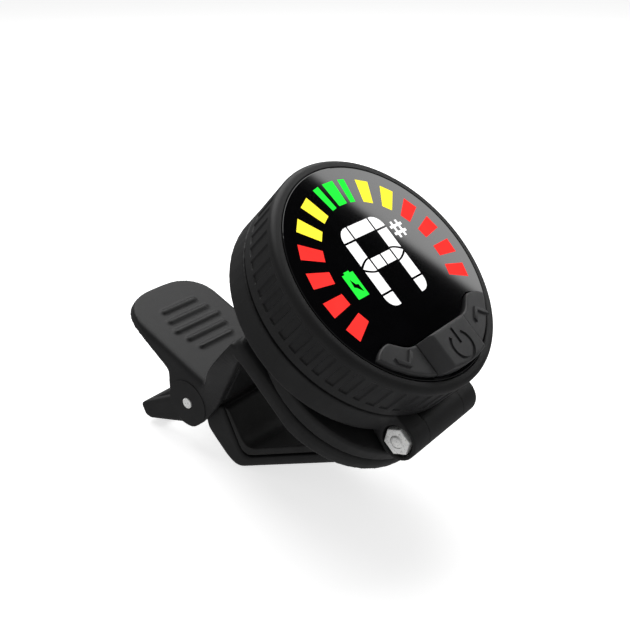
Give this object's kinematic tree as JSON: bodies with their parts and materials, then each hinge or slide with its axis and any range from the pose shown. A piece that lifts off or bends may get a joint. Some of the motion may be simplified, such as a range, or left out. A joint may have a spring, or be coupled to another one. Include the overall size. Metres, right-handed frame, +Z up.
{
  "type": "clip-on tuner",
  "caption": "Round clip-on instrument tuner: a tilting display head with three keys on a turning base, over a spring clip with rubber-lined jaws.",
  "frame": {"origin": "centre of the bounding box's underside, on the surface that the clip stands on", "axes": "+Z up, +X towards the keys and the tilt hinge, +Y along both hinge axes, with the display leaning 42.2 degrees forward from level"},
  "size_m": [0.0684, 0.0406, 0.0546],
  "materials": {
    "clip_plastic": "fine moulded texture",
    "case_plastic": "fine moulded texture",
    "pad_rubber": "satin",
    "key_rubber": "satin",
    "window": "gloss",
    "panel": "gloss",
    "diffuser": "satin",
    "board": "gloss",
    "battery_foil": "satin",
    "sensor_brass": "satin",
    "spring_wire": "satin",
    "steel": "bright"
  },
  "bodies": {
    "clip": {"upper_arm": "clip_plastic", "upper_pad": "pad_rubber", "pivot_pin": "steel", "torsion_spring": "spring_wire"},
    "jaw": {"lower_jaw": "clip_plastic", "jaw_pad": "pad_rubber", "spring_leg": "spring_wire"},
    "swivel": {"swivel_base": "clip_plastic", "swivel_washer": "steel", "swivel_screw": "steel"},
    "head": {"window": "window", "grip_ring": "case_plastic", "rear_shell": "case_plastic", "display_panel": "panel", "backlight_plate": "diffuser", "main_board": "board", "battery_cell": "battery_foil", "vibration_sensor": "sensor_brass", "charging_socket": "steel", "down_switch": "steel", "power_switch": "steel", "up_switch": "steel", "case_screw_1": "steel", "case_screw_2": "steel", "case_screw_3": "steel", "hinge_bolt": "steel", "hinge_nut": "steel"},
    "down_button": {"down_key": "key_rubber"},
    "power_button": {"power_key": "key_rubber"},
    "up_button": {"up_key": "key_rubber"}
  },
  "joints": [
    {"name": "jaw_pivot", "type": "hinge", "parent": "clip", "child": "jaw", "pos_m": [-0.01591, 0, 0.01003], "axis": [0, 1, 0], "range_deg": [0, 35], "stiffness_Nm_per_rad": 0.15, "springref_deg": -57.3},
    {"name": "swivel_turn", "type": "hinge", "parent": "clip", "child": "swivel", "pos_m": [0.01289, 0, 0.02415], "axis": [0.6717, 0, 0.7408], "continuous": true},
    {"name": "head_tilt", "type": "hinge", "parent": "swivel", "child": "head", "pos_m": [0.02768, 0, 0.01925], "axis": [0, 1, 0], "range_deg": [0, 90]},
    {"name": "down_press", "type": "slide", "parent": "head", "child": "down_button", "axis": [-0.6717, 0, -0.7408], "range_m": [0, 0.00035], "stiffness_N_per_m": 800, "springref_m": -0.0003},
    {"name": "power_press", "type": "slide", "parent": "head", "child": "power_button", "axis": [-0.6717, 0, -0.7408], "range_m": [0, 0.00035], "stiffness_N_per_m": 800, "springref_m": -0.0003},
    {"name": "up_press", "type": "slide", "parent": "head", "child": "up_button", "axis": [-0.6717, 0, -0.7408], "range_m": [0, 0.00035], "stiffness_N_per_m": 800, "springref_m": -0.0003}
  ]
}
